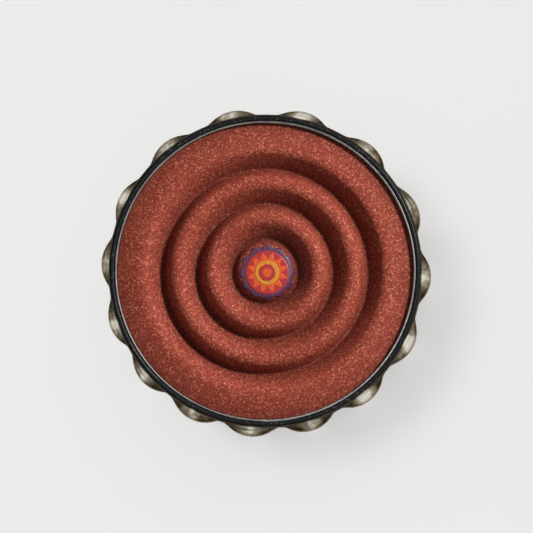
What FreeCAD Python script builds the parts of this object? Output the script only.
"""A four-section hand grinder: a fluted metal puck that is turned by hand.

From the bottom up: a pollen tray, a storage chamber with a sifting screen, a grinding chamber with teeth and
drop holes, and a lid with teeth below and a red wave-shaped disc in its top. Tray, storage and grinding
chamber screw together; the lid sits loose on a glide ring and is held by a pair of magnets.

Millimetres, +Z up, origin on the axis at the surface that the grinder stands on.
"""

import FreeCAD
import Part
import math
import os

V = FreeCAD.Vector
UP = V(0, 0, 1)
AXIS_POINT = V(0, 0, 0)

# ---- Heights of the four sections
TRAY_TOP = 12.5
STORAGE_TOP = 25.0
CHAMBER_TOP = 37.0
LID_TOP = 48.0
SEAM = 0.3  # gap that shows between two sections
PRESS_FIT = 0.02  # gap round a piece that is pressed into its seat
OVERCUT = 1.0  # how far a cutter runs past the face it opens
SAME_POINT = 1e-6  # points closer than this are one point

# ---- Fluted outside
LOBE_COUNT = 15
LOBE_REACH = 31.5  # radius over the lobes
WALL_RADIUS = 29.75  # radius of the wall between the lobes
LOBE_RADIUS = 6.5  # roundness of a lobe
ROOT_RADIUS = 2.0  # roundness of the hollow beside a lobe
LOBE_PHASE = 2.9  # turn of the whole set, in degrees
LOBE_DRIFT = 6.0  # the spacing is uneven: lobes wander by this many degrees
LOBE_DRIFT_TOWARDS = 150.0
EDGE_BREAK = 0.45  # chamfer at the ends of each fluted wall
SHOULDER_HEIGHT = 4.8  # the lid's lobes fade out over this height
SHOULDER_STEPS = 6
RIM_RADIUS = 29.6  # the lid's top edge, which is round
RIM_DROP = 0.1  # rim below the lid's highest level

# ---- Screw threads, single start, right hand
PITCH = 2.0
THREAD_TURNS = 1.5
NECK_CORE = 26.6
NECK_BORE = 25.0
NECK_LENGTH = 5.0
SOCKET_ROOT = 27.6
SOCKET_DEPTH = 5.6
THREAD_DEPTH = 0.8
THREAD_CREST = 0.5
THREAD_FOOT = 1.2
THREAD_BITE = 0.3  # how far a ridge runs into the wall that carries it

# ---- Rings between the sections
SEAL_INNER = 27.85
SEAL_OUTER = 28.9
SEAL_THICK = 0.8
RING_CLEARANCE = 0.1
GLIDE_INNER = 26.6
GLIDE_OUTER = 28.4
GLIDE_THICK = 0.9

# ---- Lid
INSERT_RADIUS = 28.05
TRIM_OUTER = 28.45
BEZEL_INNER = 28.5
BEZEL_OUTER = 29.4
BEZEL_HEIGHT = 0.8
INSERT_DEPTH = 4.2
PAD_THICK = 0.2
PLATE_UNDERSIDE = 42.5
SPIGOT_OUTER = 26.2
SPIGOT_BORE = 25.0
SPIGOT_BOTTOM = 33.4

# ---- Wave disc: three ring ridges and a low middle mound between sharp troughs
TROUGHS = 3
FIRST_TROUGH = 6.25
WAVE_PITCH = 6.65
WAVE_DEPTH = 3.2
CREST_SHARE = 0.56  # each crest stands this share of the pitch outside its trough
CREST_ROUND = 1.7
TROUGH_ROUND = 0.25
CREST_BELOW_TOP = 0.15
MOUND_FLAT = 4.4  # radius of the mound's level top
MOUND_DROP = 1.7  # mound's top below the crests
MOUND_ROUND = 1.2
OUTER_SLOPE = 13.0  # beyond the outermost crest the disc falls gently to its edge
OUTER_ROUND = 5.0
CREST_Z = LID_TOP - CREST_BELOW_TOP
TROUGH_Z = CREST_Z - WAVE_DEPTH
MOUND_Z = CREST_Z - MOUND_DROP

# ---- Motif in the middle of the disc
MEDALLION_RADIUS = 5.4
MEDALLION_NOTCH = 4.7
MEDALLION_POINTS = 12
MEDALLION_THICK = 0.12
MEDALLION_OFFSET = V(0.35, -0.3, 0)

# ---- Teeth and drop holes
TOOTH_LENGTH = 5.0
TOOTH_WIDTH = 3.2
LID_TEETH = {22.2: 9, 11.8: 5}  # ring radius: how many
CHAMBER_TEETH = {17.0: 7}
DROP_HOLES = {22.2: 12, 17.0: 7, 11.8: 6}
HOLE_RADIUS = 2.0
CHAMBER_FLOOR = 28.0
CHAMBER_BORE = 26.5
TOOTH_GAP = 0.8  # between a tooth's tip and the facing floor
TOOTH_BITE = 0.5  # how far a tooth or boss runs into the floor that carries it

# ---- Magnets
BOSS_RADIUS = 5.2
MAGNET_RADIUS = 4.0
MAGNET_THICK = 3.0
CAP_THICK = 0.5
LID_BOSS_BOTTOM = 35.4
CHAMBER_BOSS_TOP = 34.8

# ---- Screen
SCREEN_LIP_BORE = 23.6
SCREEN_LIP = 0.8
SCREEN_RADIUS = 24.9
SCREEN_THICK = 0.3
CLAMP_BORE = 23.4
CLAMP_THICK = 0.8
SNAP_WIRE = 0.5  # radius of the snap ring's wire
SNAP_GAP = 24.0  # opening of the snap ring, in degrees

# ---- Tray
BASE_GAP = 0.4  # metal stands this far off the table, on the pad
PAD_RADIUS = 24.0
BASE_PAD_THICK = 1.2
TRAY_FLOOR = 2.8
BOWL_RADIUS = 24.8
BOWL_CORNER = 2.0

# ---- Scraper
SCRAPER_SIDE = 17.0
SCRAPER_CORNER = 3.0
SCRAPER_THICK = 1.0
SCRAPER_HOLE = 1.8
SCRAPER_CENTRE = V(-6.0, 0, 0)
SCRAPER_LIFT = 0.05  # gap under it, so that it slides free


# ---------------------------------------------------------------- helpers


def at(radius, degrees, z=0.0):
    """A point given by its radius, its angle and its height."""
    a = math.radians(degrees)
    return V(radius * math.cos(a), radius * math.sin(a), z)


def tube(outer, inner, bottom, top):
    """A plain ring with a flat top and bottom."""
    return disc(outer, bottom, top).cut(disc(inner, bottom, top))


def disc(radius, bottom, top):
    return Part.makeCylinder(radius, top - bottom, V(0, 0, bottom))


def turned(edges):
    """A solid of revolution from the edges of a closed outline in the XZ plane."""
    wire = Part.Wire(edges)
    return Part.Face(wire).revolve(AXIS_POINT, UP, 360)


def line(a, b):
    return Part.LineSegment(a, b).toShape()


def arc(a, mid, b):
    return Part.Arc(a, mid, b).toShape()


def xz(r, z):
    return V(r, 0, z)


def regular(count, phase=0.0):
    """Angles of a regular ring, in degrees."""
    return [phase + 360.0 * i / count for i in range(count)]


# ---------------------------------------------------------------- fluted outline


def lobe_angles():
    """Where the lobes' middles lie. Their spacing drifts round the wall."""
    return [
        even + LOBE_PHASE + LOBE_DRIFT * math.cos(math.radians(even - LOBE_DRIFT_TOWARDS))
        for even in regular(LOBE_COUNT)
    ]


def lobe_points(reach, wall, lobe_round, root_round):
    """The half angles and radii at which a lobe's round meets its root, and the root meets the wall."""
    lobe_centre = reach - lobe_round
    root_centre = wall + root_round
    span = lobe_round + root_round
    cos_half = (lobe_centre**2 + root_centre**2 - span**2) / (2 * lobe_centre * root_centre)
    half = math.degrees(math.acos(cos_half))
    touch = at(lobe_centre, 0) + (at(root_centre, half) - at(lobe_centre, 0)) * (lobe_round / span)
    root_mid_direction = (touch + at(wall, half)) * 0.5 - at(root_centre, half)
    root_mid = at(root_centre, half) + root_mid_direction.normalize() * root_round
    return {
        "half": half,
        "touch": (touch.Length, math.degrees(math.atan2(touch.y, touch.x))),
        "root_mid": (root_mid.Length, math.degrees(math.atan2(root_mid.y, root_mid.x))),
    }


def fluted_wire(z, inset=0.0):
    """The fluted outline at one height, pulled in all round by inset."""
    reach, wall = LOBE_REACH - inset, WALL_RADIUS - inset
    p = lobe_points(reach, wall, LOBE_RADIUS - inset, ROOT_RADIUS + inset)
    touch_r, touch_a = p["touch"]
    mid_r, mid_a = p["root_mid"]
    return outline_wire(z, p["half"], touch_a, mid_a, reach, touch_r, mid_r, wall)


def shoulder_wire(z, share):
    """The outline part way between the fluted wall, at a share of 1, and the round rim, at 0."""
    p = lobe_points(LOBE_REACH, WALL_RADIUS, LOBE_RADIUS, ROOT_RADIUS)
    full = [LOBE_REACH, p["touch"][0], p["root_mid"][0], WALL_RADIUS]
    radii = [RIM_RADIUS + (r - RIM_RADIUS) * share for r in full]
    return outline_wire(z, p["half"], p["touch"][1], p["root_mid"][1], *radii)


def outline_wire(z, half, touch_a, mid_a, reach, touch_r, mid_r, wall):
    """Lobe by lobe: root, lobe, root, then the wall up to the next lobe."""
    edges = []
    angles = lobe_angles()
    for i, a in enumerate(angles):
        after = angles[(i + 1) % LOBE_COUNT] + (360 if i + 1 == LOBE_COUNT else 0)
        start, end = at(wall, a - half, z), at(wall, a + half, z)
        rise, fall = at(touch_r, a - touch_a, z), at(touch_r, a + touch_a, z)
        edges.append(arc(start, at(mid_r, a - mid_a, z), rise))
        edges.append(arc(rise, at(reach, a, z), fall))
        edges.append(arc(fall, at(mid_r, a + mid_a, z), end))
        edges.append(arc(end, at(wall, (a + after) / 2, z), at(wall, after - half, z)))
    return Part.Wire(edges)


def fluted_block(bottom, top, break_top=True):
    """A solid fluted drum with broken edges."""
    wires = [fluted_wire(bottom, EDGE_BREAK), fluted_wire(bottom + EDGE_BREAK)]
    if break_top:
        wires += [fluted_wire(top - EDGE_BREAK), fluted_wire(top, EDGE_BREAK)]
    else:
        wires.append(fluted_wire(top))
    return Part.makeLoft(wires, True, True)


def shoulder(bottom, top):
    """The lid's rounded shoulder: a quarter ellipse that takes the lobes back to a circle."""
    wires = []
    for i in range(SHOULDER_STEPS + 1):
        a = math.radians(90.0 * i / SHOULDER_STEPS)
        wires.append(shoulder_wire(bottom + (top - bottom) * math.sin(a), math.cos(a)))
    return Part.makeLoft(wires, True, False)


# ---------------------------------------------------------------- screw threads


def thread_ridge(root, crest, start):
    """One helical ridge. It reaches from the wall at root to the crest, and bites into the wall."""
    outward = 1 if crest > root else -1
    foot = root - outward * THREAD_BITE
    profile = [
        V(foot, 0, -THREAD_FOOT / 2),
        V(crest, 0, -THREAD_CREST / 2),
        V(crest, 0, THREAD_CREST / 2),
        V(foot, 0, THREAD_FOOT / 2),
    ]
    helix = Part.Wire(Part.makeHelix(PITCH, PITCH * THREAD_TURNS, foot))
    ridge = helix.makePipeShell([Part.makePolygon(profile + profile[:1])], True, True)
    ridge.translate(V(0, 0, start))
    return ridge


def threaded_neck(foot):
    """A tube with an outside thread, hanging below the foot of a section."""
    bottom = foot - NECK_LENGTH
    neck = tube(NECK_CORE, NECK_BORE, bottom, foot)
    start = bottom + THREAD_FOOT / 2 + SEAM
    return neck.fuse(thread_ridge(NECK_CORE, NECK_CORE + THREAD_DEPTH, start))


def socket_ridge(top):
    """The inside thread of the socket that takes that neck: the same helix, half a pitch down."""
    start = top + SEAM - NECK_LENGTH + THREAD_FOOT / 2 + SEAM - PITCH / 2
    return thread_ridge(SOCKET_ROOT, SOCKET_ROOT - THREAD_DEPTH, start)


def seal_groove(foot):
    """The groove in the foot of a section in which a seal ring sits."""
    depth = SEAL_THICK - SEAM
    return tube(SEAL_OUTER + RING_CLEARANCE, SEAL_INNER - RING_CLEARANCE, foot, foot + depth)


def seal_ring(seat):
    return tube(SEAL_OUTER, SEAL_INNER, seat, seat + SEAL_THICK)


# ---------------------------------------------------------------- teeth and magnets


def tooth(radius, degrees, bottom, top):
    """A diamond-section tooth, long way round the ring."""
    half_w, half_l = TOOTH_WIDTH / 2, TOOTH_LENGTH / 2
    corners = [
        V(radius - half_w, 0, bottom),
        V(radius, half_l, bottom),
        V(radius + half_w, 0, bottom),
        V(radius, -half_l, bottom),
    ]
    prism = Part.Face(Part.makePolygon(corners + corners[:1])).extrude(V(0, 0, top - bottom))
    prism.rotate(AXIS_POINT, UP, degrees)
    return prism


def tooth_rings(rings, bottom, top):
    """Every ring has a gap, not a tooth, at angle 0."""
    return [
        tooth(radius, a, bottom, top)
        for radius, count in rings.items()
        for a in regular(count, 180.0 / count)
    ]


def drop_holes(bottom, top):
    """Holes between the chamber's teeth. Their rings start at angle 0, in the gap."""
    return [
        Part.makeCylinder(HOLE_RADIUS, top - bottom, at(radius, a, bottom))
        for radius, count in DROP_HOLES.items()
        for a in regular(count)
    ]


# ---------------------------------------------------------------- lid


def flank_slope(run, depth, rounding):
    """Slope, in degrees, of a flank that falls by depth within run, from a crest's rounding to a trough's."""
    radii = rounding + TROUGH_ROUND
    rest = depth - radii
    return math.degrees(math.asin(radii / math.hypot(run, rest)) + math.atan2(rest, run))


def wave_arc(centre, level, rounding, start, end):
    """Three points of a rounding that is level at its centre, from one slope to another.

    A slope is in degrees, and positive where it falls outward. A negative rounding is a trough's.
    """
    points = []
    for slope in (start, (start + end) / 2, end):
        a = math.radians(slope)
        points.append(xz(centre + rounding * math.sin(a), level - rounding * (1 - math.cos(a))))
    return points


def wave_arcs():
    """The roundings of the disc's top, from the mound outwards."""
    rise = flank_slope(CREST_SHARE * WAVE_PITCH, WAVE_DEPTH, CREST_ROUND)
    fall = flank_slope((1 - CREST_SHARE) * WAVE_PITCH, WAVE_DEPTH, CREST_ROUND)
    into_trough = flank_slope(FIRST_TROUGH - MOUND_FLAT, WAVE_DEPTH - MOUND_DROP, MOUND_ROUND)
    arcs = [wave_arc(MOUND_FLAT, MOUND_Z, MOUND_ROUND, 0, into_trough)]
    for i in range(TROUGHS):
        trough = FIRST_TROUGH + i * WAVE_PITCH
        crest = trough + CREST_SHARE * WAVE_PITCH
        outermost = i == TROUGHS - 1
        arcs.append(wave_arc(trough, TROUGH_Z, -TROUGH_ROUND, into_trough, -rise))
        arcs.append(wave_arc(crest, CREST_Z, CREST_ROUND, -rise, 0 if outermost else fall))
        into_trough = fall
    arcs.append(wave_arc(crest, CREST_Z, OUTER_ROUND, 0, OUTER_SLOPE))
    return arcs


def wave_edges():
    """The disc's top outline from the axis out to its edge, and the point where it ends."""
    edges = []
    last = xz(0, MOUND_Z)
    for points in wave_arcs():
        if not last.isEqual(points[0], SAME_POINT):
            edges.append(line(last, points[0]))
        edges.append(arc(*points))
        last = points[-1]
    edge = xz(INSERT_RADIUS, last.z - (INSERT_RADIUS - last.x) * math.tan(math.radians(OUTER_SLOPE)))
    edges.append(line(last, edge))
    return edges, edge


def wave_disc():
    """The red disc set in the lid's top."""
    top, edge_top = wave_edges()
    bottom = LID_TOP - INSERT_DEPTH + PAD_THICK
    edges = top + [
        line(edge_top, xz(INSERT_RADIUS, bottom)),
        line(xz(INSERT_RADIUS, bottom), xz(0, bottom)),
        line(xz(0, bottom), xz(0, MOUND_Z)),
    ]
    return turned(edges)


def medallion(disc_solid):
    """A thin pointed rosette that follows the top of the middle mound."""
    points = []
    for i in range(MEDALLION_POINTS):
        points.append(at(MEDALLION_RADIUS, 360.0 * i / MEDALLION_POINTS))
        points.append(at(MEDALLION_NOTCH, 360.0 * (i + 0.5) / MEDALLION_POINTS))
    star = Part.Face(Part.makePolygon(points + points[:1])).extrude(V(0, 0, WAVE_DEPTH))
    star.translate(MEDALLION_OFFSET + V(0, 0, TROUGH_Z))
    raised = disc_solid.copy()
    raised.translate(V(0, 0, MEDALLION_THICK))
    return star.common(raised).cut(disc_solid)


def round_topped_ring(inner, outer, bottom, top):
    """A ring whose top is a half round."""
    half = (outer - inner) / 2
    spring_line = top - half
    return turned(
        [
            line(xz(inner, bottom), xz(outer, bottom)),
            line(xz(outer, bottom), xz(outer, spring_line)),
            arc(xz(outer, spring_line), xz(inner + half, top), xz(inner, spring_line)),
            line(xz(inner, spring_line), xz(inner, bottom)),
        ]
    )


def trim_ring():
    """The bright band round the disc, with a rounded top."""
    bottom = LID_TOP - INSERT_DEPTH + PAD_THICK
    inner = INSERT_RADIUS + PRESS_FIT
    return round_topped_ring(inner, TRIM_OUTER, bottom, LID_TOP - RIM_DROP)


def bezel_ring():
    """The black ring outside the bright band."""
    return round_topped_ring(BEZEL_INNER, BEZEL_OUTER - PRESS_FIT, LID_TOP - BEZEL_HEIGHT, LID_TOP)


def lid_shell():
    skirt_bottom = CHAMBER_TOP + SEAM
    shoulder_bottom = LID_TOP - RIM_DROP - SHOULDER_HEIGHT
    shell = fluted_block(skirt_bottom, shoulder_bottom, break_top=False)
    shell = shell.fuse(shoulder(shoulder_bottom, LID_TOP - RIM_DROP))
    shell = shell.cut(disc(SPIGOT_OUTER, skirt_bottom - OVERCUT, PLATE_UNDERSIDE))
    shell = shell.cut(disc(BEZEL_INNER, LID_TOP - INSERT_DEPTH, LID_TOP))
    shell = shell.cut(disc(BEZEL_OUTER, LID_TOP - BEZEL_HEIGHT, LID_TOP))
    glide_top = CHAMBER_TOP + GLIDE_THICK
    shell = shell.cut(tube(GLIDE_OUTER + RING_CLEARANCE, SPIGOT_OUTER, skirt_bottom - OVERCUT, glide_top))
    shell = shell.fuse(tube(SPIGOT_OUTER, SPIGOT_BORE, SPIGOT_BOTTOM, PLATE_UNDERSIDE))
    shell = shell.fuse(disc(BOSS_RADIUS, LID_BOSS_BOTTOM, PLATE_UNDERSIDE))
    tip = CHAMBER_FLOOR + TOOTH_GAP
    shell = shell.fuse(tooth_rings(LID_TEETH, tip, PLATE_UNDERSIDE + TOOTH_BITE))
    pocket_top = LID_BOSS_BOTTOM + CAP_THICK + MAGNET_THICK
    return shell.cut(disc(MAGNET_RADIUS + PRESS_FIT, LID_BOSS_BOTTOM - OVERCUT, pocket_top))


# ---------------------------------------------------------------- chambers


def grinding_chamber():
    foot = STORAGE_TOP + SEAM
    body = fluted_block(foot, CHAMBER_TOP)
    body = body.cut(disc(CHAMBER_BORE, CHAMBER_FLOOR, CHAMBER_TOP + OVERCUT))
    body = body.cut(seal_groove(foot))
    body = body.fuse(threaded_neck(foot))
    body = body.fuse(disc(BOSS_RADIUS, CHAMBER_FLOOR - TOOTH_BITE, CHAMBER_BOSS_TOP))
    tip = PLATE_UNDERSIDE - TOOTH_GAP
    body = body.fuse(tooth_rings(CHAMBER_TEETH, CHAMBER_FLOOR - TOOTH_BITE, tip))
    pocket_bottom = CHAMBER_BOSS_TOP - CAP_THICK - MAGNET_THICK
    body = body.cut(disc(MAGNET_RADIUS + PRESS_FIT, pocket_bottom, CHAMBER_BOSS_TOP + OVERCUT))
    return body.cut(drop_holes(foot - OVERCUT, CHAMBER_FLOOR + OVERCUT))


def storage_chamber():
    foot = TRAY_TOP + SEAM
    neck_bottom = foot - NECK_LENGTH
    body = fluted_block(foot, STORAGE_TOP)
    body = body.cut(disc(NECK_BORE, foot - OVERCUT, STORAGE_TOP + OVERCUT))
    body = body.cut(disc(SOCKET_ROOT, STORAGE_TOP - SOCKET_DEPTH, STORAGE_TOP + OVERCUT))
    body = body.cut(seal_groove(foot))
    body = body.fuse(threaded_neck(foot))
    body = body.fuse(socket_ridge(STORAGE_TOP))
    lip_root = (NECK_BORE + NECK_CORE) / 2
    body = body.fuse(tube(lip_root, SCREEN_LIP_BORE, neck_bottom, neck_bottom + SCREEN_LIP))
    return body.cut(snap_groove())


def screen_level():
    return TRAY_TOP + SEAM - NECK_LENGTH + SCREEN_LIP


def snap_level():
    """Height of the snap ring's wire centre."""
    return screen_level() + SCREEN_THICK + CLAMP_THICK + SNAP_WIRE


def snap_groove():
    return Part.makeTorus(NECK_BORE - SNAP_WIRE / 2, SNAP_WIRE + PRESS_FIT, V(0, 0, snap_level()))


def snap_ring():
    """A split wire ring, sprung into the groove above the clamp ring."""
    ring = Part.makeTorus(NECK_BORE - SNAP_WIRE / 2, SNAP_WIRE, V(0, 0, snap_level()))
    half = math.radians(SNAP_GAP / 2)
    reach = SCREEN_RADIUS + 2
    corners = [V(0, 0, 0), V(reach, -reach * math.tan(half), 0), V(reach, reach * math.tan(half), 0)]
    wedge = Part.Face(Part.makePolygon(corners + corners[:1])).extrude(V(0, 0, 4 * SNAP_WIRE))
    wedge.translate(V(0, 0, snap_level() - 2 * SNAP_WIRE))
    return ring.cut(wedge)


def pollen_tray():
    body = fluted_block(BASE_GAP, TRAY_TOP)
    body = body.cut(disc(PAD_RADIUS + RING_CLEARANCE, BASE_GAP - OVERCUT, BASE_PAD_THICK))
    body = body.cut(disc(SOCKET_ROOT, TRAY_TOP - SOCKET_DEPTH, TRAY_TOP + OVERCUT))
    bowl = disc(BOWL_RADIUS, TRAY_FLOOR, TRAY_TOP - SOCKET_DEPTH + OVERCUT)
    floor_edge = [e for e in bowl.Edges if abs(e.BoundBox.ZMax - TRAY_FLOOR) < 1e-6 and e.Closed]
    body = body.cut(bowl.makeFillet(BOWL_CORNER, floor_edge))
    return body.fuse(socket_ridge(TRAY_TOP))


def scraper():
    """A small three-cornered scraper that lies loose in the tray."""
    corner_ring = SCRAPER_SIDE / math.sqrt(3) - SCRAPER_CORNER
    rounds = [at(corner_ring, a) for a in (0, 120, 240)]
    bottom = TRAY_FLOOR + SCRAPER_LIFT
    edges = []
    for i, centre in enumerate(rounds):
        a = 120 * i
        following = rounds[(i + 1) % 3]
        start = centre + at(SCRAPER_CORNER, a - 60)
        end = centre + at(SCRAPER_CORNER, a + 60)
        edges.append(arc(start, centre + at(SCRAPER_CORNER, a), end))
        edges.append(line(end, following + at(SCRAPER_CORNER, a + 60)))
    plate = Part.Face(Part.Wire(edges)).extrude(V(0, 0, SCRAPER_THICK))
    plate = plate.cut(disc(SCRAPER_HOLE, 0, SCRAPER_THICK))
    plate.translate(SCRAPER_CENTRE + V(0, 0, bottom))
    return plate


# ---------------------------------------------------------------- assembly


def all_nodes():
    red_disc = wave_disc()
    insert_floor = LID_TOP - INSERT_DEPTH
    level = screen_level()
    return {
        "lid_shell": lid_shell(),
        "lid_bezel_ring": bezel_ring(),
        "insert_trim_ring": trim_ring(),
        "wave_disc": red_disc,
        "medallion": medallion(red_disc),
        "insert_adhesive_pad": disc(INSERT_RADIUS - 1, insert_floor, insert_floor + PAD_THICK),
        "lid_magnet": disc(
            MAGNET_RADIUS, LID_BOSS_BOTTOM + CAP_THICK, LID_BOSS_BOTTOM + CAP_THICK + MAGNET_THICK
        ),
        "lid_magnet_cap": disc(MAGNET_RADIUS, LID_BOSS_BOTTOM, LID_BOSS_BOTTOM + CAP_THICK),
        "glide_ring": tube(GLIDE_OUTER, GLIDE_INNER, CHAMBER_TOP, CHAMBER_TOP + GLIDE_THICK),
        "grinding_chamber": grinding_chamber(),
        "chamber_magnet": disc(
            MAGNET_RADIUS, CHAMBER_BOSS_TOP - CAP_THICK - MAGNET_THICK, CHAMBER_BOSS_TOP - CAP_THICK
        ),
        "chamber_magnet_cap": disc(MAGNET_RADIUS, CHAMBER_BOSS_TOP - CAP_THICK, CHAMBER_BOSS_TOP),
        "storage_seal_ring": seal_ring(STORAGE_TOP),
        "storage_chamber": storage_chamber(),
        "sifting_screen": disc(SCREEN_RADIUS, level, level + SCREEN_THICK),
        "screen_clamp_ring": tube(
            SCREEN_RADIUS, CLAMP_BORE, level + SCREEN_THICK, level + SCREEN_THICK + CLAMP_THICK
        ),
        "screen_snap_ring": snap_ring(),
        "tray_seal_ring": seal_ring(TRAY_TOP),
        "pollen_tray": pollen_tray(),
        "scraper": scraper(),
        "base_pad": disc(PAD_RADIUS, 0, BASE_PAD_THICK),
    }


def main():
    os.makedirs("parts", exist_ok=True)
    for name, shape in all_nodes().items():
        ok = shape.isValid() and shape.Volume > 0
        print(f"{name:22s} valid {ok}  solids {len(shape.Solids)}  volume {shape.Volume:9.1f}")
        shape.exportStep(f"parts/{name}.step")


main()
